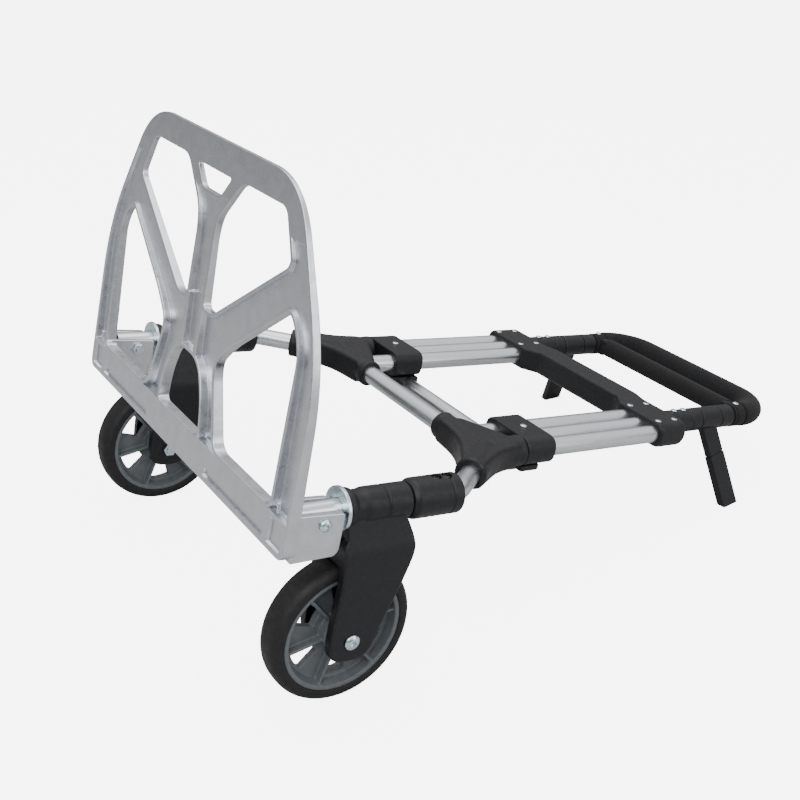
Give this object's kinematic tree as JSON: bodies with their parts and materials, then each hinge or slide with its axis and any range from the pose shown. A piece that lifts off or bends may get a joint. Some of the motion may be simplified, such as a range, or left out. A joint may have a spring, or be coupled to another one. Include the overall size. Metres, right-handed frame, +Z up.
{
  "type": "folding luggage cart",
  "caption": "Folding hand cart: cast windowed toe plate on a hinge, fold-in wheels on forks, tubular frame, sliding foam-gripped handle and rear legs that fold flat.",
  "frame": {"origin": "on the floor, under the middle of the bounding box", "axes": "+X across the cart, +Y from the toe plate towards the handle, +Z up; the rails slope 10 degrees down towards +Y"},
  "size_m": [0.5256, 0.8266, 0.5213],
  "materials": {
    "casting": "satin tumbled casting",
    "tube": "silver anodised",
    "zinc": "bright zinc plating",
    "steel": "plain",
    "plastic": "fine moulded texture",
    "foam": "matte closed-cell foam",
    "rim": "grey moulded",
    "tyre": "matte"
  },
  "bodies": {
    "frame": {"cross_tube": "tube", "crossbar": "plastic", "side_tube_right": "tube", "inner_rail_right": "tube", "y_joint_right": "plastic", "pivot_collar_right": "plastic", "collar_screw_1_right": "steel", "collar_screw_2_right": "steel", "pivot_washer_right": "zinc", "hinge_plug_right": "plastic", "side_tube_left": "tube", "inner_rail_left": "tube", "y_joint_left": "plastic", "pivot_collar_left": "plastic", "collar_screw_1_left": "steel", "collar_screw_2_left": "steel", "pivot_washer_left": "zinc", "hinge_plug_left": "plastic"},
    "toe_plate": {"toe_plate": "casting", "hinge_bolt_right": "zinc", "hinge_nut_right": "zinc", "hinge_bolt_left": "zinc", "hinge_nut_left": "zinc"},
    "fork_right": {"fork_right": "plastic", "axle_bolt_right": "zinc", "axle_nut_right": "zinc", "axle_sleeve_right": "steel"},
    "fork_left": {"fork_left": "plastic", "axle_bolt_left": "zinc", "axle_nut_left": "zinc", "axle_sleeve_left": "steel"},
    "wheel_right": {"wheel_rim_right": "rim", "tyre_right": "tyre"},
    "wheel_left": {"wheel_rim_left": "rim", "tyre_left": "tyre"},
    "handle": {"slider_tube": "tube", "handle_tube": "tube", "handle_bar": "foam", "foam_grip": "foam", "slider_right": "plastic", "slider_plate_right": "plastic", "slider_screw_right": "zinc", "lower_sleeve_right": "plastic", "upper_sleeve_right": "plastic", "sleeve_screw_1_right": "zinc", "sleeve_screw_2_right": "zinc", "ring_screw_right": "zinc", "slider_left": "plastic", "slider_plate_left": "plastic", "slider_screw_left": "zinc", "lower_sleeve_left": "plastic", "upper_sleeve_left": "plastic", "sleeve_screw_1_left": "zinc", "sleeve_screw_2_left": "zinc", "ring_screw_left": "zinc"},
    "leg_right": {"leg_right": "plastic", "leg_foot_right": "plastic"},
    "leg_left": {"leg_left": "plastic", "leg_foot_left": "plastic"}
  },
  "joints": [
    {"name": "toe_plate_fold", "type": "hinge", "parent": "frame", "child": "toe_plate", "pos_m": [0, -0.35757, 0.21933], "axis": [-1, 0, 0], "range_deg": [0, 87.5]},
    {"name": "fork_right_fold", "type": "hinge", "parent": "frame", "child": "fork_right", "pos_m": [0.23, -0.29227, 0.21127], "axis": [0, 0.9848, -0.1736], "range_deg": [0, 79]},
    {"name": "fork_left_fold", "type": "hinge", "parent": "frame", "child": "fork_left", "pos_m": [-0.23, -0.29227, 0.21127], "axis": [0, -0.9848, 0.1736], "range_deg": [0, 79]},
    {"name": "wheel_right_spin", "type": "hinge", "parent": "fork_right", "child": "wheel_right", "pos_m": [0.227, -0.33329, 0.08], "axis": [1, 0, 0], "continuous": true},
    {"name": "wheel_left_spin", "type": "hinge", "parent": "fork_left", "child": "wheel_left", "pos_m": [-0.227, -0.33329, 0.08], "axis": [1, 0, 0], "continuous": true},
    {"name": "handle_slide", "type": "slide", "parent": "frame", "child": "handle", "axis": [0, 0.9848, -0.1736], "range_m": [0, 0.165]},
    {"name": "leg_right_fold", "type": "hinge", "parent": "handle", "child": "leg_right", "pos_m": [0.136, 0.2799, 0.11038], "axis": [0, 0.9848, -0.1736], "range_deg": [0, 114]},
    {"name": "leg_left_fold", "type": "hinge", "parent": "handle", "child": "leg_left", "pos_m": [-0.136, 0.2799, 0.11038], "axis": [0, -0.9848, 0.1736], "range_deg": [0, 114]}
  ],
  "couplings": [
    {"joint": "fork_right_fold", "follows": "toe_plate_fold", "ratio": 0.9},
    {"joint": "fork_left_fold", "follows": "toe_plate_fold", "ratio": 0.9}
  ]
}
